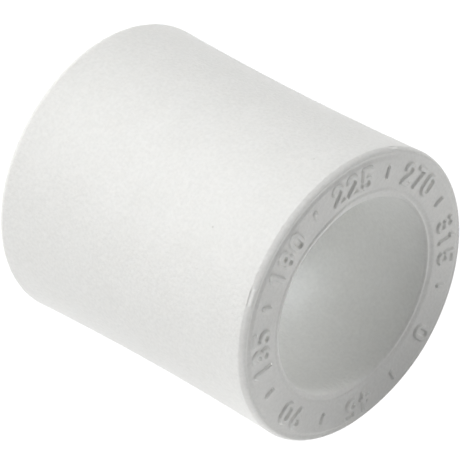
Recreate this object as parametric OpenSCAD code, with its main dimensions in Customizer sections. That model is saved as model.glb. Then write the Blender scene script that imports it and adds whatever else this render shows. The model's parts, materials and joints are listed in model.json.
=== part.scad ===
// Socket-fusion pipe coupling: one moulded sleeve with a pipe socket in each end and a stop ring between them.
// The bore runs along +Z. The plain end stands on Z = 0, and the end with the raised numbers is on top.

/* [Sockets] */
// Inside diameter of each pipe socket
socket_d = 19.2; // [15:0.1:62]
// Depth of each socket, from its end face to the stop ring
socket_depth = 14.5; // [10:0.1:40]
// Width of the small bevel around each socket's mouth
mouth_bevel = 0.2; // [0.1:0.05:0.4]
// How far the stop ring stands in from the socket's wall
stop_height = 2.6; // [1:0.1:4]
// Length of the stop ring along the bore
stop_length = 2.3; // [1.5:0.1:6]

/* [Sleeve] */
// Thickness of the wall around a socket, at the sleeve's ends
wall = 4.7; // [4.2:0.1:12]
// How far the middle of the sleeve draws in, on the radius
waist = 0.3; // [0.05:0.05:0.6]
// Radius of the rounded outer edge at each end
edge_round = 0.7; // [0.3:0.05:1]
// Height of the flat end face above its rounded edge
rim_step = 0.15; // [0.05:0.05:0.3]

/* [Raised ring around the marked mouth] */
// Flat land between the mouth's bevel and the raised ring
land = 0.25; // [0.1:0.05:0.5]
// Width of the raised ring at its foot
ring_width = 0.4; // [0.35:0.05:0.8]
// Height of the raised ring, whose two flanks slope at 45 degrees
ring_height = 0.12; // [0.05:0.01:0.16]

/* [Raised numbers] */
// Angle from one number to the next, in degrees
number_step = 45; // [30, 45, 60, 90]
// Height of a digit, across the end face
digit_height = 2.15; // [1.8:0.05:2.4]
// Width of a digit, along the end face
digit_width = 1.35; // [1:0.05:1.6]
// Gap between the digits of one number
digit_gap = 0.45; // [0.3:0.05:0.6]
// Length of the tick halfway between two numbers
tick_length = 1.1; // [0.6:0.05:1.6]
// Width of the strokes that digits and ticks are drawn with
stroke = 0.35; // [0.25:0.05:0.4]
// Height of digits and ticks above the end face
relief = 0.25; // [0.1:0.05:0.4]

/* [Hidden] */
$fn = 128;

// Radii of the sleeve, from the waterway outwards
socket_r = socket_d / 2;
stop_r = socket_r - stop_height;
mouth_r = socket_r + mouth_bevel;
ring_in_r = mouth_r + land;
ring_out_r = ring_in_r + ring_width;
outside_r = socket_r + wall;
edge_r = outside_r - edge_round;
number_r = (ring_out_r + edge_r) / 2;

// Heights along the bore
sleeve_length = 2 * socket_depth + stop_length;
side_start = rim_step + edge_round;
half_side = sleeve_length / 2 - side_start;

// Steps of the rounded edge, a quarter circle, and of the drawn-in side
edge_steps = 6;
side_steps = 16;

// Middle line of a digit's strokes: its width, its height and the radii of its wide and narrow bowls
line_w = digit_width - stroke;
line_h = digit_height - stroke;
wide_bowl = line_w / 2;
narrow_bowl = line_h / 4;
full_turn = 360;

// The sleeve's side, a parabola that draws in by the waist at mid-length
function side_r(share) = outside_r - waist * (1 - share * share);

lower_edge = [
    for (i = [0 : edge_steps])
        let (angle = 90 * i / edge_steps)
        [edge_r + edge_round * sin(angle), rim_step + edge_round * (1 - cos(angle))]
];
side = [
    for (i = [1 : side_steps - 1])
        let (share = 2 * i / side_steps - 1)
        [side_r(share), sleeve_length / 2 + half_side * share]
];
upper_edge = [
    for (i = [edge_steps : -1 : 0])
        [lower_edge[i][0], sleeve_length - lower_edge[i][1]]
];
raised_ring = [
    [ring_out_r, sleeve_length],
    [ring_out_r - ring_height, sleeve_length + ring_height],
    [ring_in_r + ring_height, sleeve_length + ring_height],
    [ring_in_r, sleeve_length]
];
bore = [
    [mouth_r, sleeve_length],
    [socket_r, sleeve_length - mouth_bevel],
    [socket_r, sleeve_length - socket_depth],
    [stop_r, sleeve_length - socket_depth],
    [stop_r, socket_depth],
    [socket_r, socket_depth],
    [socket_r, mouth_bevel],
    [mouth_r, 0]
];

// The wall cut along the bore, from the plain end up the outside and back down the bore
module sleeve_section() {
    polygon(concat(
        [[edge_r, 0]],
        lower_edge,
        side,
        upper_edge,
        [[edge_r, sleeve_length]],
        raised_ring,
        bore
    ));
}

// A straight stroke between two points of the middle line, rooted in the end face
module bar(from, to) {
    run = to - from;
    translate(from)
        rotate(atan2(run[1], run[0]))
        translate([-stroke / 2, -stroke / 2, -relief])
        cube([norm(run) + stroke, stroke, 2 * relief]);
}

// A round stroke about a centre, between two angles
module bow(centre, radius, from, to) {
    translate(centre)
        rotate_extrude(angle = to - from, start = from)
        translate([radius - stroke / 2, -relief])
        square([stroke, 2 * relief]);
}

// A point on a bow's middle line
function bow_point(centre, radius, angle) = centre + radius * [cos(angle), sin(angle)];

module zero() {
    bow([wide_bowl, line_h - wide_bowl], wide_bowl, 0, 180);
    bow([wide_bowl, wide_bowl], wide_bowl, 180, 360);
    for (x = [0, line_w])
        bar([x, wide_bowl], [x, line_h - wide_bowl]);
}

module one() {
    flag = wide_bowl * 0.7;
    bar([wide_bowl, 0], [wide_bowl, line_h]);
    bar([wide_bowl - flag, line_h - flag], [wide_bowl, line_h]);
}

module two() {
    centre = [wide_bowl, line_h - wide_bowl];
    turn_off = -40;
    bow(centre, wide_bowl, turn_off, 180);
    bar([0, 0], bow_point(centre, wide_bowl, turn_off));
    bar([0, 0], [line_w, 0]);
}

module three() {
    opening = 150;
    bow([wide_bowl, line_h - narrow_bowl], narrow_bowl, -90, opening);
    bow([wide_bowl, narrow_bowl], narrow_bowl, -opening, 90);
    bar([wide_bowl - narrow_bowl / 2, line_h / 2], [wide_bowl, line_h / 2]);
}

module four() {
    stem = line_w * 0.7;
    crossing = line_h * 0.3;
    bar([stem, 0], [stem, line_h]);
    bar([0, crossing], [line_w, crossing]);
    bar([0, crossing], [stem, line_h]);
}

module five() {
    centre = [wide_bowl, wide_bowl];
    opening = 145;
    shoulder = bow_point(centre, wide_bowl, opening);
    bow(centre, wide_bowl, -opening, opening);
    bar(shoulder, [shoulder[0], line_h]);
    bar([shoulder[0], line_h], [line_w, line_h]);
}

module six() {
    translate([line_w, line_h])
        rotate(180)
        nine();
}

module seven() {
    foot = line_w * 0.35;
    bar([0, line_h], [line_w, line_h]);
    bar([foot, 0], [line_w, line_h]);
}

module eight() {
    for (y = [narrow_bowl, line_h - narrow_bowl])
        bow([wide_bowl, y], narrow_bowl, 0, full_turn);
}

module nine() {
    bow([wide_bowl, line_h - wide_bowl], wide_bowl, 0, full_turn);
    bar([wide_bowl, 0], [line_w, line_h - wide_bowl]);
}

module digit(character) {
    if (character == "0") zero();
    if (character == "1") one();
    if (character == "2") two();
    if (character == "3") three();
    if (character == "4") four();
    if (character == "5") five();
    if (character == "6") six();
    if (character == "7") seven();
    if (character == "8") eight();
    if (character == "9") nine();
}

// Turns its children clockwise from +Y about the bore, seen from above the marked end
module at_angle(angle) {
    rotate(-angle)
        translate([0, number_r, sleeve_length])
        children();
}

// One number of the angle scale, with its digits' tops outwards
module number(angle) {
    digits = str(angle);
    pitch = (digit_width + digit_gap) / number_r * 180 / PI;
    for (i = [0 : len(digits) - 1])
        at_angle(angle + pitch * (i - (len(digits) - 1) / 2))
        translate([-line_w / 2, -line_h / 2])
        digit(digits[i]);
}

// The angle scale that the pipes are lined up by
module angle_scale() {
    for (angle = [0 : number_step : full_turn - number_step]) {
        number(angle);
        at_angle(angle + number_step / 2)
            bar([0, (stroke - tick_length) / 2], [0, (tick_length - stroke) / 2]);
    }
}

module coupling_body() {
    color("white") {
        rotate_extrude() sleeve_section();
        angle_scale();
    }
}

coupling_body();
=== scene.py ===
import json
import math

import bpy
import numpy as np
from mathutils import Matrix, Vector


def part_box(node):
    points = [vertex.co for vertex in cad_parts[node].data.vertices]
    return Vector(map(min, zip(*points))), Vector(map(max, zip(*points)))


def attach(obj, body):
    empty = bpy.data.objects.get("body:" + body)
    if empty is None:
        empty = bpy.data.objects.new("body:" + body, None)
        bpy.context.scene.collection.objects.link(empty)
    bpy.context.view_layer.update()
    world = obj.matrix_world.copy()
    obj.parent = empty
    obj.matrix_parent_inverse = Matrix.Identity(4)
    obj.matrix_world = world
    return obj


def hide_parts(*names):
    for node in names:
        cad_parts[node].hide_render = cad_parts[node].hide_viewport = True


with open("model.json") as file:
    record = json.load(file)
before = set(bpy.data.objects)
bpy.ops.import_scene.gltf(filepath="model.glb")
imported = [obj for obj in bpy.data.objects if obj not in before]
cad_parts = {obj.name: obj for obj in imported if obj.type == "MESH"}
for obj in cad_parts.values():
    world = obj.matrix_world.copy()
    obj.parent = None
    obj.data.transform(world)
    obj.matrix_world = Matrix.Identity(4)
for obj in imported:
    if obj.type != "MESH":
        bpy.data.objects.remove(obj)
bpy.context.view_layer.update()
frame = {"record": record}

MM = 0.001
NODE = "coupling_body"

# Sizes of the sleeve, from the frame and its mounts. The node's box ends at the tops of the raised marks
relief = 0.25 * MM
node_low, node_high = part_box(NODE)
mounts = {mount["name"]: mount for mount in frame["record"]["mounts"]}
upper_socket = mounts["upper_socket"]
lower_socket = mounts["lower_socket"]
outside_r = (node_high.x - node_low.x) / 2
sleeve_length = node_high.z - relief
socket_r = upper_socket["dims"]["r_mm"] * MM
socket_half = upper_socket["dims"]["length_mm"] * MM / 2
upper_stop_z = upper_socket["pos_m"][2] - socket_half
lower_stop_z = lower_socket["pos_m"][2] + socket_half

# Sizes that the solid has too
stop_height = 2.6 * MM
mouth_round = 0.2 * MM
land = 0.25 * MM
ring_width = 0.4 * MM
edge_round = 0.7 * MM
waist = 0.3 * MM

# Radii that follow from them
stop_r = socket_r - stop_height
mouth_r = socket_r + mouth_round
ring_out_r = mouth_r + land + ring_width
edge_r = outside_r - edge_round

# Rounded edges of the stop ring
stop_round = 0.3 * MM

# Bevel of the marked mouth: drop, wall below it, share of its width where it starts, and bend
bevel_drop = 0.17 * MM
bevel_foot = 0.1 * MM
bevel_start = 0.06
bevel_bend = 1.3

# Crest around the marked mouth and the groove around the crest
crest_r = mouth_r + 0.23 * MM
crest_height = 0.035 * MM
groove_r = mouth_r + 0.5 * MM
groove_depth = 0.025 * MM

# On the far side the crest lies further in and below the face, and the groove is deep and close to it
far_angle = 340
far_reach = 90
far_fade = 40
far_crest_r = mouth_r - 0.03 * MM
far_crest_drop = 0.13 * MM
far_groove_r = mouth_r + 0.2 * MM
far_groove_depth = 0.19 * MM

# Between the flash and the far side, the crest and its groove lie further out
wide_angle = 238
wide_reach = 30
wide_fade = 16
wide_shift = 0.25 * MM

# Flash that lifts the crest: its angle, its spread in degrees and how many crest heights it adds
flash_angle = 203
flash_spread = 17
flash_lift = 2.0

# Waves of the crest: share of its height, count around the mouth and shift in degrees
crest_waves = [(0.08, 3, 0), (0.05, 7, 40)]

# Outer edge of an end, from the face outwards: crease, lip, band and tight corner
crease_width = 0.43 * MM
crease_depth = 0.14 * MM
lip_width = 0.2 * MM
lip_drop = 0.05 * MM
band_width = 0.42 * MM
band_drop = 0.54 * MM
corner_round = 0.16 * MM
lip_r = outside_r - band_width
face_end_r = lip_r - lip_width - crease_width

# Turn along the quarter ellipse that the band follows, and slope of its normal where the corner starts
band_turn = math.radians(50)
corner_start = math.atan(band_width / band_drop / (1 + 1 / math.cos(band_turn)))

# How far out the band and how far down the corner reach, from the lip
band_reach = band_width - corner_round * (1 - math.cos(corner_start))
corner_drop = band_drop + corner_round * math.sin(corner_start)

# The crease is deep around one side of the marked rim and fades out on the other
crease_angle = 180
crease_reach = 85
crease_fade = 40

# Where the marked rim's lip lies lower than on the crease's side: angle, half width in degrees and drop
edge_sags = [(345, 80, 0.12 * MM), (50, 48, 0.22 * MM)]
sag_fade = 40

# Gate scars on the marked rim: angle clockwise from +Y, half length, and how far they fill the band
gate_scars = [(162.1, 0.8 * MM, 0.95), (248.9, 0.32 * MM, 0.98)]

# Length of a scar's sloping end, ledge under it, how square and how ragged it is, and size of its teeth
scar_end = 0.12 * MM
scar_ledge = 0.025 * MM
scar_squareness = 6.0
scar_raggedness = 0.12
scar_tooth = MM / 9

# Raised angle scale on the marked end. Part of a stroke's sloping flank lies outside the stroke's width
number_step = 45
number_r = (ring_out_r + edge_r) / 2
digit_height = 2.15 * MM
digit_width = 1.35 * MM
digit_gap = 0.45 * MM
tick_length = 1.1 * MM
stroke = 0.35 * MM
flank = 0.12 * MM
flank_outside = 0.75
scale_margin = 0.12 * MM
scale_half = digit_height / 2 + scale_margin

# Middle lines of the digits' strokes: their width, their height and the radii of wide and narrow bowls
line_w = digit_width - stroke
line_h = digit_height - stroke
wide_bowl = line_w / 2
narrow_bowl = line_h / 4

# Vertices around a ring
COARSE = 360
MEDIUM = 720
FINE = 1440

# Steps along the wall's section
BEVEL_STEPS = 6
CREST_STEPS = 6
GROOVE_STEPS = 4
FACE_STEPS = 2
SCALE_STEPS = 43
CREASE_STEPS = 8
LIP_STEPS = 4
BAND_STEPS = 14
CORNER_STEPS = 5
SIDE_STEPS = 40
MOUTH_STEPS = 5
SOCKET_STEPS = 12
STOP_FACE_STEPS = 3
STOP_ROUND_STEPS = 4

# Colours of the plastic's clouds, specks and grain, each from its dark to its light end
CLOUD_COLOURS = ((0.9, 0.9, 0.876), (0.92, 0.92, 0.898))
SPECK_COLOURS = ((0.85, 0.85, 0.84), (1.0, 1.0, 1.0))
GRAIN_COLOURS = ((0.97, 0.97, 0.97), (1.03, 1.03, 1.03))

# Sizes of those patterns, in features per metre, and the ranges of texture values that their colours span
CLOUD_SCALE = 260.0
SPECK_SCALE = 250.0
GRAIN_SCALE = 3200.0
NOISE_RANGE = (0.3, 0.7)
SPECK_RANGE = (0.015, 0.035)
ROUGHNESS_RANGE = (0.3, 0.4)
GRAIN_BUMP = 0.045 * MM

# Floor and sky
FLOOR_HALF = 3.0
FLOOR_GAP = 0.05 * MM
FLOOR_GREY = 0.2
FLOOR_GLOW = 1.0
FLOOR_FAR_GLOW = 0.45
FLOOR_GLOW_R = 80 * MM
FLOOR_FADE_R = 260 * MM
SKY = 0.052
WHITE = (1.0, 1.0, 1.0, 1.0)

# Softboxes: name, azimuth and elevation in degrees, distance, width and height in metres, power in watts
SOFTBOXES = [
    ("back_softbox", 180, 50, 0.6, 1.6, 0.4, 1.278),
    ("back_right_softbox", 125, 35, 0.5, 0.3, 0.3, 0.571),
    ("left_softbox", -90, 60, 0.5, 0.4, 0.4, 0.575),
    ("right_softbox", 90, 60, 0.5, 0.4, 0.4, 0.141),
    ("right_near_softbox", 106, 42.2, 0.029, 0.034, 0.008, 0.00066),
    ("left_near_softbox", -120, 44.7, 0.0303, 0.034, 0.01, 0.000224),
    ("rim_strip", 135, 28.5, 0.027, 0.04, 0.005, 0.0004),
    ("front_strip", -8, 0, 0.25, 0.2, 0.029, 0.0795),
    ("front_right_strip", 30, 0, 0.25, 0.1, 0.029, 0.0575),
    ("front_near_strip", -8, 13, 0.0503, 0.04, 0.006, 0.00261),
]

# Strip of light on the table
STRIP_WIDTH = 7 * MM
STRIP_LENGTH = 34 * MM
STRIP_PLACE = (-10 * MM, -34 * MM, 0.1 * MM)
STRIP_TURN = math.radians(-20.556)
STRIP_POWER = 0.000314

# Beams over the marked mouth: name, angle clockwise from +Y, width and power in watts
MOUTH_BEAMS = [
    ("right_mouth_beam", 272, 16 * MM, 0.000024),
    ("near_mouth_beam", 32, 14 * MM, 0.000022),
]

# Radius and height above the face where a beam starts, height that it aims at, and its own height and spread
BEAM_R = 11 * MM
BEAM_LIFT = 2 * MM
BEAM_AIM_LIFT = 0.5 * MM
BEAM_HEIGHT = 1 * MM
BEAM_SPREAD = math.radians(16)

# Faint lights in the upper socket: name, x, y, height above the stop ring and power in watts
BORE_GLOWS = [
    ("wall_glow", 1.5 * MM, 6 * MM, 1.5 * MM, 0.000136),
    ("mouth_glow", -3 * MM, 0.0, 10 * MM, 0.000166),
]
GLOW_COLOUR = (0.9, 0.94, 1.0)
GLOW_R = 2 * MM

# Dark card that keeps light off one side of the marked face: angle clockwise from +Y, distance and size
CARD_ANGLE = 37
CARD_DISTANCE = 22 * MM
CARD_WIDTH = 38 * MM
CARD_HEIGHT = 15 * MM
CARD_GREY = 0.05

# Camera of the photograph
VIEW_ELEVATION = math.radians(36.03)
VIEW_ROLL = math.radians(118.2)
VIEW_DISTANCE = 472.5 * MM
FOCAL_LENGTH = 406.0
SENSOR_WIDTH = 36.0
CLIP_START = 10 * MM
CLIP_END = 20.0

# Point that the softboxes and the camera face
sleeve_middle = Vector((0.0, 0.0, sleeve_length / 2))


# Helpers for numbers, angles and lines

def smooth(share):
    """An eased step from 0 to 1 as share goes from 0 to 1."""
    share = np.clip(share, 0.0, 1.0)
    return share * share * (3.0 - 2.0 * share)


def mix(start, end, share):
    """The value that lies a share of the way from start to end."""
    return start + (end - start) * share


def shares(steps):
    """Even shares from 0 to 1."""
    return np.linspace(0.0, 1.0, steps + 1)


def turn_from(middle, angle):
    """Degrees from a middle angle to another one, between -180 and 180."""
    return (angle - middle + 180.0) % 360.0 - 180.0


def share_near(angle, middle, reach, fade):
    """1 around a middle angle, fading to 0 at reach degrees from it."""
    return float(smooth((reach - abs(turn_from(middle, angle))) / fade))


def outward(angle):
    """The level direction at an angle clockwise from +Y."""
    turn = math.radians(angle)
    return Vector((math.sin(turn), math.cos(turn), 0.0))


def arc(centre_r, centre_z, radius, start, end, steps):
    """Points of an arc in the wall's section, with angles in degrees from the outward direction."""
    angles = np.radians(np.linspace(start, end, steps + 1))
    return [(centre_r + radius * math.cos(a), centre_z + radius * math.sin(a)) for a in angles]


def straight(start, end, steps):
    """Points after start along a straight line, up to and with end."""
    return [(mix(start[0], end[0], share), mix(start[1], end[1], share)) for share in shares(steps)[1:]]


# Raised angle scale, with each digit in a cell whose lower left corner is the origin

def bow_point(centre, radius, angle):
    """A point on a round stroke's middle line."""
    turn = math.radians(angle)
    return (centre[0] + radius * math.cos(turn), centre[1] + radius * math.sin(turn))


def bar_distance(x, y, start, end):
    """Distance from points to a straight stroke."""
    run = (end[0] - start[0], end[1] - start[1])
    length_squared = run[0] ** 2 + run[1] ** 2
    share = np.clip(((x - start[0]) * run[0] + (y - start[1]) * run[1]) / length_squared, 0.0, 1.0)
    return np.hypot(x - start[0] - share * run[0], y - start[1] - share * run[1])


def bow_distance(x, y, centre, radius, start, end):
    """Distance from points to a round stroke between two angles in degrees."""
    turn = np.degrees(np.arctan2(y - centre[1], x - centre[0]))
    inside = np.mod(turn - start, 360.0) <= end - start
    on_arc = np.abs(np.hypot(x - centre[0], y - centre[1]) - radius)
    tips = [bow_point(centre, radius, angle) for angle in (start, end)]
    to_tips = np.minimum(*[np.hypot(x - tip[0], y - tip[1]) for tip in tips])
    return np.where(inside, on_arc, to_tips)


def digit_strokes(character):
    """The bars and bows of one digit of the scale."""
    top = (wide_bowl, line_h - wide_bowl)
    bottom = (wide_bowl, wide_bowl)
    upper = (wide_bowl, line_h - narrow_bowl)
    lower = (wide_bowl, narrow_bowl)
    if character == "0":
        return [
            ("bow", top, wide_bowl, 0, 180),
            ("bow", bottom, wide_bowl, 180, 360),
            ("bar", (0, wide_bowl), (0, line_h - wide_bowl)),
            ("bar", (line_w, wide_bowl), (line_w, line_h - wide_bowl)),
        ]
    if character == "1":
        flag = wide_bowl * 0.7
        return [
            ("bar", (wide_bowl, 0), (wide_bowl, line_h)),
            ("bar", (wide_bowl - flag, line_h - flag), (wide_bowl, line_h)),
        ]
    if character == "2":
        turn_off = -40
        return [
            ("bow", top, wide_bowl, turn_off, 180),
            ("bar", (0, 0), bow_point(top, wide_bowl, turn_off)),
            ("bar", (0, 0), (line_w, 0)),
        ]
    if character == "3":
        opening = 150
        return [
            ("bow", upper, narrow_bowl, -90, opening),
            ("bow", lower, narrow_bowl, -opening, 90),
            ("bar", (wide_bowl - narrow_bowl / 2, line_h / 2), (wide_bowl, line_h / 2)),
        ]
    if character == "4":
        stem = line_w * 0.7
        crossing = line_h * 0.3
        return [
            ("bar", (stem, 0), (stem, line_h)),
            ("bar", (0, crossing), (line_w, crossing)),
            ("bar", (0, crossing), (stem, line_h)),
        ]
    if character == "5":
        opening = 145
        shoulder = bow_point(bottom, wide_bowl, opening)
        return [
            ("bow", bottom, wide_bowl, -opening, opening),
            ("bar", shoulder, (shoulder[0], line_h)),
            ("bar", (shoulder[0], line_h), (line_w, line_h)),
        ]
    if character == "7":
        foot = line_w * 0.35
        return [
            ("bar", (0, line_h), (line_w, line_h)),
            ("bar", (foot, 0), (line_w, line_h)),
        ]
    if character == "8":
        return [
            ("bow", upper, narrow_bowl, 0, 360),
            ("bow", lower, narrow_bowl, 0, 360),
        ]
    if character == "9":
        return [
            ("bow", top, wide_bowl, 0, 360),
            ("bar", (wide_bowl, 0), (line_w, line_h - wide_bowl)),
        ]
    raise ValueError(f"no strokes for {character!r}")


def stroke_distance(x, y, strokes):
    """Distance from points to the nearest of several strokes."""
    measure = {"bar": bar_distance, "bow": bow_distance}
    return np.minimum.reduce([measure[kind](x, y, *form) for kind, *form in strokes])


def scale_marks():
    """Each mark of the angle scale: its angle clockwise from +Y, its strokes and its cell's middle."""
    marks = []
    pitch = math.degrees((digit_width + digit_gap) / number_r)
    half_tick = (tick_length - stroke) / 2
    for angle in range(0, 360, number_step):
        digits = str(angle)
        for place, character in enumerate(digits):
            offset = pitch * (place - (len(digits) - 1) / 2)
            marks.append((angle + offset, digit_strokes(character), (line_w / 2, line_h / 2)))
        tick = [("bar", (0, -half_tick), (0, half_tick))]
        marks.append((angle + number_step / 2, tick, (0, 0)))
    return marks


def mark_heights(radii, angles):
    """How far the marks stand up at every radius and clockwise angle of the scale, as a grid."""
    nearest = np.full((len(radii), len(angles)), digit_height)
    reach = math.degrees(digit_width / number_r)
    for mark_angle, strokes, middle in scale_marks():
        away = turn_from(mark_angle, angles)
        near = np.nonzero(np.abs(away) < reach)[0]
        turn = np.radians(away[near])[None, :]
        x = radii[:, None] * np.sin(turn) + middle[0]
        y = radii[:, None] * np.cos(turn) - number_r + middle[1]
        nearest[:, near] = np.minimum(nearest[:, near], stroke_distance(x, y, strokes))
    foot = stroke / 2 + flank * flank_outside
    return relief * smooth((foot - nearest) / flank)


# Section of the wall, as runs of points from the marked mouth outwards and round to the bore again

def crest_lift(angle):
    """How many times its plain height the crest around the mouth has at an angle."""
    lift = 1 + flash_lift * math.exp(-(turn_from(flash_angle, angle) / flash_spread) ** 2)
    for share, count, shift in crest_waves:
        lift += share * math.sin(math.radians(count * angle + shift))
    return lift


def marked_end_inner(angle):
    """The marked mouth's bevel, crest and groove and the face up to the scale, at an angle."""
    far = share_near(angle, far_angle, far_reach, far_fade)
    shift = wide_shift * share_near(angle, wide_angle, wide_reach, wide_fade)
    top_r = mix(crest_r, far_crest_r, far) + shift
    top_z = sleeve_length + mix(crest_height * crest_lift(angle), -far_crest_drop, far)
    low_r = mix(groove_r, far_groove_r, far) + shift
    low_z = sleeve_length - mix(groove_depth, far_groove_depth, far)
    end_r = ring_out_r + shift
    points = [(socket_r, top_z - bevel_drop - bevel_foot)]
    for share in shares(BEVEL_STEPS):
        bevel_r = mix(socket_r, top_r, mix(bevel_start, 1.0, share))
        points.append((bevel_r, top_z - bevel_drop * (1 - share) ** bevel_bend))
    for share in shares(CREST_STEPS)[1:]:
        points.append((mix(top_r, low_r, share), mix(top_z, low_z, smooth(share))))
    for share in shares(GROOVE_STEPS)[1:]:
        points.append((mix(low_r, end_r, share), mix(low_z, sleeve_length, smooth(share))))
    points += straight(points[-1], (number_r - scale_half, sleeve_length), FACE_STEPS)[:-1]
    return points


def band_point(share):
    """How far out and down from its lip the plain band lies, a share of the way along it."""
    turn = band_turn * share
    out = band_reach * math.sin(turn) / math.sin(band_turn)
    drop = band_drop * (1 - math.cos(turn)) / (1 - math.cos(band_turn))
    return out, drop


def scar_point(share):
    """How far out and down from the lip a gate scar lies, with a squarer corner and a ledge."""
    turn = math.pi / 2 * share
    power = 2 / scar_squareness
    out = (band_reach - scar_ledge) * math.sin(turn) ** power
    drop = band_drop * (1 - max(math.cos(turn), 0.0) ** power)
    return out, drop


def end_edge(face_z, up, fill, crease, sag):
    """The outer edge of an end: crease, lip, band and corner, for up = 1 on top and -1 below.

    A scar fills the band at fill = 1, the crease has its full depth at crease = 1, and sag lowers the lip.
    """
    lip = lip_drop + sag
    deepest = lip + (crease_depth - lip_drop) * crease
    points = []
    for share in shares(CREASE_STEPS):
        drop = deepest * (share + smooth(share)) / 2
        points.append((face_end_r + crease_width * share, face_z - up * drop))
    for share in shares(LIP_STEPS)[1:]:
        drop = mix(deepest, lip, smooth(share))
        points.append((lip_r - lip_width * (1 - share), face_z - up * drop))
    for share in shares(BAND_STEPS)[1:]:
        plain_out, plain_drop = band_point(share)
        scar_out, scar_drop = scar_point(share)
        drop = lip + mix(plain_drop, scar_drop, fill) * (1 - sag / band_drop)
        points.append((lip_r + mix(plain_out, scar_out, fill), face_z - up * drop))
    for normal in np.linspace(corner_start, 0.0, CORNER_STEPS + 1)[1:]:
        drop = lip_drop + corner_drop - corner_round * math.sin(normal)
        points.append((outside_r - corner_round * (1 - math.cos(normal)), face_z - up * drop))
    return points


def scar_fill(angle):
    """How far the gate scars fill the rim's band at an angle."""
    fill = 0.0
    for scar_angle, half_length, share in gate_scars:
        away = math.radians(abs(turn_from(scar_angle, angle))) * outside_r
        ragged = 1 + scar_raggedness * math.sin(away / scar_tooth + scar_angle)
        fill = max(fill, share * ragged * float(smooth((half_length + scar_end - away) / scar_end)))
    return fill


def edge_sag(angle):
    """How far the marked rim's lip is lowered at an angle."""
    return sum(depth * share_near(angle, middle, reach, sag_fade) for middle, reach, depth in edge_sags)


def marked_edge(angle):
    """The outer edge of the marked end at an angle."""
    crease = share_near(angle, crease_angle, crease_reach, crease_fade)
    return end_edge(sleeve_length, 1, scar_fill(angle), crease, edge_sag(angle))


def plain_edge():
    """The outer edge of the plain end, from its corner inwards."""
    return end_edge(0.0, -1, 0.0, 1.0, 0.0)[::-1]


def side():
    """The sleeve's side from top to bottom, which draws in by the waist at mid-length."""
    half = sleeve_length / 2 - lip_drop - corner_drop
    points = []
    for share in np.linspace(1.0, -1.0, SIDE_STEPS + 1)[1:-1]:
        points.append((outside_r - waist * (1 - share * share), sleeve_length / 2 + half * share))
    return points


def bore():
    """The plain mouth's round, both sockets and the stop ring, up to just below the marked mouth."""
    stop_flat_r = stop_r + stop_round
    wall_end_z = sleeve_length - 2 * mouth_round
    points = arc(mouth_r, mouth_round, mouth_round, 270, 180, MOUTH_STEPS)
    points += straight(points[-1], (socket_r, lower_stop_z), SOCKET_STEPS)
    points += straight(points[-1], (stop_flat_r, lower_stop_z), STOP_FACE_STEPS)
    points += arc(stop_flat_r, lower_stop_z + stop_round, stop_round, 270, 180, STOP_ROUND_STEPS)[1:]
    points += arc(stop_flat_r, upper_stop_z - stop_round, stop_round, 180, 90, STOP_ROUND_STEPS)
    points += straight(points[-1], (socket_r, upper_stop_z), STOP_FACE_STEPS)
    points += straight(points[-1], (socket_r, wall_end_z), SOCKET_STEPS)[:-1]
    return points


# Mesh of the coupling

def around(section, count):
    """Vertices of a section's rings, where section gives the points of one angle clockwise from +Y."""
    angles = np.arange(count) * 360.0 / count
    turn = np.radians(angles)
    points = np.array([section(angle) for angle in angles])
    radius = points[:, :, 0].T
    height = points[:, :, 1].T
    return list(np.stack([radius * np.sin(turn), radius * np.cos(turn), height], 2))


def marked_scale():
    """Rings of the face that carries the marks."""
    radii = np.linspace(number_r - scale_half, number_r + scale_half, SCALE_STEPS + 1)
    angles = np.arange(FINE) * 360.0 / FINE
    turn = np.radians(angles)
    heights = sleeve_length + mark_heights(radii, angles)
    return [np.stack([r * np.sin(turn), r * np.cos(turn), h], 1) for r, h in zip(radii, heights)]


def bridge(start_a, count_a, start_b, count_b):
    """Faces between two neighbouring rings, where one may have several times the other's vertices."""
    fewer = min(count_a, count_b)
    per_a = count_a // fewer
    per_b = count_b // fewer
    faces = []
    for i in range(fewer):
        side_a = [start_a + (i * per_a + k) % count_a for k in range(per_a + 1)]
        side_b = [start_b + (i * per_b + k) % count_b for k in range(per_b + 1)]
        faces.append([int(v) for v in side_a + side_b[::-1]])
    return faces


def build_mesh():
    """The whole skin, as rings from the marked mouth outwards, down the side and back up the bore."""
    same_all_round = side() + plain_edge() + bore()
    rings = around(marked_end_inner, MEDIUM)
    rings += marked_scale()
    rings += around(marked_edge, MEDIUM)
    rings += around(lambda angle: same_all_round, COARSE)
    starts = np.cumsum([0] + [len(ring) for ring in rings])
    faces = []
    for index, ring in enumerate(rings):
        following = (index + 1) % len(rings)
        faces += bridge(starts[index], len(ring), starts[following], len(rings[following]))
    mesh = bpy.data.meshes.new("coupling")
    mesh.from_pydata(np.concatenate(rings).tolist(), [], faces)
    mesh.polygons.foreach_set("use_smooth", [True] * len(mesh.polygons))
    mesh.update()
    return mesh


# Plastic of the coupling

def pattern(tree, kind, scale):
    """A texture node of a kind, in the part's own coordinates."""
    place = tree.nodes.new("ShaderNodeTexCoord")
    texture = tree.nodes.new(kind)
    texture.inputs["Scale"].default_value = scale
    tree.links.new(place.outputs["Object"], texture.inputs["Vector"])
    return texture


def colour_between(tree, value, value_range, colours):
    """A colour that goes from the first of two colours to the second as a value crosses its range."""
    ramp = tree.nodes.new("ShaderNodeValToRGB")
    for element, position, colour in zip(ramp.color_ramp.elements, value_range, colours):
        element.position = position
        element.color = (*colour, 1.0)
    tree.links.new(value, ramp.inputs["Fac"])
    return ramp.outputs["Color"]


def multiply_colours(tree, first, second):
    """The product of two colours."""
    product = tree.nodes.new("ShaderNodeMix")
    product.data_type = "RGBA"
    product.blend_type = "MULTIPLY"
    product.inputs["Factor"].default_value = 1.0
    tree.links.new(first, product.inputs["A"])
    tree.links.new(second, product.inputs["B"])
    return product.outputs["Result"]


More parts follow.
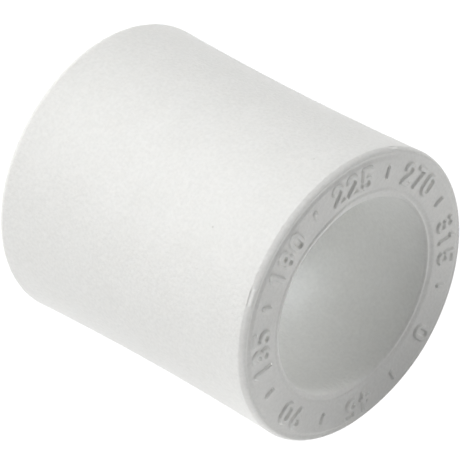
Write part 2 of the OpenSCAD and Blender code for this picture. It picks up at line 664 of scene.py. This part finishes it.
def polypropylene():
    """White satin plastic with a fine moulded grain, faint clouds and a few dark specks."""
    material = bpy.data.materials.new("white_polypropylene")
    material.use_nodes = True
    tree = material.node_tree
    shader = tree.nodes["Principled BSDF"]
    shader.inputs["IOR"].default_value = 1.49
    shader.inputs["Specular IOR Level"].default_value = 0.1
    shader.inputs["Subsurface Weight"].default_value = 0.15
    shader.inputs["Subsurface Radius"].default_value = (1.0, 0.95, 0.9)
    shader.inputs["Subsurface Scale"].default_value = 0.4 * MM

    specks = pattern(tree, "ShaderNodeTexVoronoi", SPECK_SCALE)
    clouds = pattern(tree, "ShaderNodeTexNoise", CLOUD_SCALE)
    clouds.inputs["Detail"].default_value = 3.0
    grain = pattern(tree, "ShaderNodeTexNoise", GRAIN_SCALE)
    grain.inputs["Detail"].default_value = 2.0

    speck_colour = colour_between(tree, specks.outputs["Distance"], SPECK_RANGE, SPECK_COLOURS)
    cloud_colour = colour_between(tree, clouds.outputs["Fac"], NOISE_RANGE, CLOUD_COLOURS)
    grain_colour = colour_between(tree, grain.outputs["Fac"], NOISE_RANGE, GRAIN_COLOURS)
    clouds_and_specks = multiply_colours(tree, cloud_colour, speck_colour)
    colour = multiply_colours(tree, clouds_and_specks, grain_colour)
    tree.links.new(colour, shader.inputs["Base Color"])

    sheen = tree.nodes.new("ShaderNodeMapRange")
    sheen.inputs["From Min"].default_value = NOISE_RANGE[0]
    sheen.inputs["From Max"].default_value = NOISE_RANGE[1]
    sheen.inputs["To Min"].default_value = ROUGHNESS_RANGE[0]
    sheen.inputs["To Max"].default_value = ROUGHNESS_RANGE[1]
    tree.links.new(clouds.outputs["Fac"], sheen.inputs["Value"])
    tree.links.new(sheen.outputs["Result"], shader.inputs["Roughness"])

    bump = tree.nodes.new("ShaderNodeBump")
    bump.inputs["Strength"].default_value = 1.0
    bump.inputs["Distance"].default_value = GRAIN_BUMP
    tree.links.new(grain.outputs["Fac"], bump.inputs["Height"])
    tree.links.new(bump.outputs["Normal"], shader.inputs["Normal"])
    return material


# Pieces, floor, lights and camera

def make_coupling():
    """The moulded sleeve, which stands for the solid."""
    coupling = bpy.data.objects.new("coupling", build_mesh())
    bpy.context.scene.collection.objects.link(coupling)
    coupling.data.materials.append(polypropylene())
    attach(coupling, "root")
    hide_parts(NODE)


def make_floor():
    """A white table that glows near the part and fades to pale grey far from it."""
    half = FLOOR_HALF
    mesh = bpy.data.meshes.new("floor")
    corners = [(-half, -half, 0), (half, -half, 0), (half, half, 0), (-half, half, 0)]
    mesh.from_pydata(corners, [], [(0, 1, 2, 3)])
    floor = bpy.data.objects.new("floor", mesh)
    floor.location.z = -FLOOR_GAP
    bpy.context.scene.collection.objects.link(floor)
    material = bpy.data.materials.new("white_floor")
    material.use_nodes = True
    nodes = material.node_tree.nodes
    links = material.node_tree.links
    shader = nodes["Principled BSDF"]
    shader.inputs["Base Color"].default_value = (FLOOR_GREY, FLOOR_GREY, FLOOR_GREY, 1.0)
    shader.inputs["Roughness"].default_value = 1.0
    shader.inputs["Specular IOR Level"].default_value = 0.0
    shader.inputs["Emission Color"].default_value = WHITE
    place = nodes.new("ShaderNodeTexCoord")
    distance = nodes.new("ShaderNodeVectorMath")
    distance.operation = "LENGTH"
    fade = nodes.new("ShaderNodeMapRange")
    fade.interpolation_type = "SMOOTHSTEP"
    fade.inputs["From Min"].default_value = FLOOR_GLOW_R
    fade.inputs["From Max"].default_value = FLOOR_FADE_R
    fade.inputs["To Min"].default_value = FLOOR_GLOW
    fade.inputs["To Max"].default_value = FLOOR_FAR_GLOW
    links.new(place.outputs["Object"], distance.inputs[0])
    links.new(distance.outputs["Value"], fade.inputs["Value"])
    links.new(fade.outputs["Result"], shader.inputs["Emission Strength"])
    mesh.materials.append(material)


def make_world():
    """An even, dim white sky."""
    world = bpy.data.worlds.new("studio")
    bpy.context.scene.world = world
    world.use_nodes = True
    background = world.node_tree.nodes["Background"]
    background.inputs["Color"].default_value = WHITE
    background.inputs["Strength"].default_value = SKY


def place_light(name, light):
    """Puts a light into the scene where the camera doesn't see it, and returns its object."""
    lamp = bpy.data.objects.new(name, light)
    bpy.context.scene.collection.objects.link(lamp)
    lamp.visible_camera = False
    return lamp


def make_area_light(name, width, height, power):
    """A rectangular area light."""
    light = bpy.data.lights.new(name, "AREA")
    light.shape = "RECTANGLE"
    light.size = width
    light.size_y = height
    light.energy = power
    return place_light(name, light)


def aim(lamp, start, end):
    """Puts a light at start and turns it towards end."""
    lamp.location = start
    lamp.rotation_mode = "QUATERNION"
    lamp.rotation_quaternion = (end - start).to_track_quat("-Z", "Y")


def make_softbox(name, azimuth, elevation, distance, width, height, power):
    """An area light that faces the sleeve's middle.

    Azimuth 0 is the camera's side, and azimuth grows anticlockwise as seen from above.
    """
    turn = math.radians(azimuth)
    lift = math.radians(elevation)
    away = Vector((math.sin(turn) * math.cos(lift), -math.cos(turn) * math.cos(lift), math.sin(lift)))
    softbox = make_area_light(name, width, height, power)
    aim(softbox, sleeve_middle + away * distance, sleeve_middle)


def make_floor_strip():
    """A strip of light that lies on the table in front of the sleeve and gives its side a soft sheen."""
    strip = make_area_light("floor_strip", STRIP_WIDTH, STRIP_LENGTH, STRIP_POWER)
    strip.location = STRIP_PLACE
    strip.rotation_euler = (math.pi, 0.0, STRIP_TURN)


def make_mouth_beam(name, angle, width, power):
    """A narrow beam that runs over the marked mouth from an angle to the edge across."""
    beam = make_area_light(name, width, BEAM_HEIGHT, power)
    beam.data.spread = BEAM_SPREAD
    beam.visible_glossy = False
    start = outward(angle) * BEAM_R + Vector((0.0, 0.0, sleeve_length + BEAM_LIFT))
    end = outward(angle) * -mouth_r + Vector((0.0, 0.0, sleeve_length + BEAM_AIM_LIFT))
    aim(beam, start, end)


def make_bore_glow(name, x, y, height, power):
    """A faint, slightly blue light in the upper socket, above the stop ring."""
    light = bpy.data.lights.new(name, "POINT")
    light.energy = power
    light.color = GLOW_COLOUR
    light.shadow_soft_size = GLOW_R
    glow = place_light(name, light)
    glow.location = (x, y, upper_stop_z + height)


def make_shade_card():
    """An upright dark card that the camera doesn't see. It starts at the height of the marked end."""
    half = CARD_WIDTH / 2
    low = sleeve_length
    high = sleeve_length + CARD_HEIGHT
    corners = [(-half, 0, low), (half, 0, low), (half, 0, high), (-half, 0, high)]
    mesh = bpy.data.meshes.new("face_card")
    mesh.from_pydata(corners, [], [(0, 1, 2, 3)])
    card = bpy.data.objects.new("face_card", mesh)
    bpy.context.scene.collection.objects.link(card)
    card.location = outward(CARD_ANGLE) * CARD_DISTANCE
    card.rotation_euler = (0.0, 0.0, -math.radians(CARD_ANGLE))
    card.visible_camera = False
    material = bpy.data.materials.new("dark_card")
    material.use_nodes = True
    shader = material.node_tree.nodes["Principled BSDF"]
    shader.inputs["Base Color"].default_value = (CARD_GREY, CARD_GREY, CARD_GREY, 1.0)
    shader.inputs["Roughness"].default_value = 1.0
    mesh.materials.append(material)


def make_camera():
    """The photograph's camera, which looks at the sleeve's middle and is rolled about its own axis."""
    camera = bpy.data.objects.new("camera", bpy.data.cameras.new("camera"))
    bpy.context.scene.collection.objects.link(camera)
    camera.data.lens = FOCAL_LENGTH
    camera.data.sensor_width = SENSOR_WIDTH
    camera.data.clip_start = CLIP_START
    camera.data.clip_end = CLIP_END
    back = Vector((0.0, -math.cos(VIEW_ELEVATION), math.sin(VIEW_ELEVATION)))
    turn = (-back).to_track_quat("-Z", "Y").to_matrix().to_4x4()
    roll = Matrix.Rotation(VIEW_ROLL, 4, "Z")
    camera.matrix_world = Matrix.Translation(sleeve_middle + back * VIEW_DISTANCE) @ turn @ roll
    bpy.context.scene.camera = camera


make_coupling()
make_floor()
make_world()
for softbox_values in SOFTBOXES:
    make_softbox(*softbox_values)
make_floor_strip()
for beam_values in MOUTH_BEAMS:
    make_mouth_beam(*beam_values)
for glow_values in BORE_GLOWS:
    make_bore_glow(*glow_values)
make_shade_card()
make_camera()
bpy.context.scene.view_settings.view_transform = "Standard"
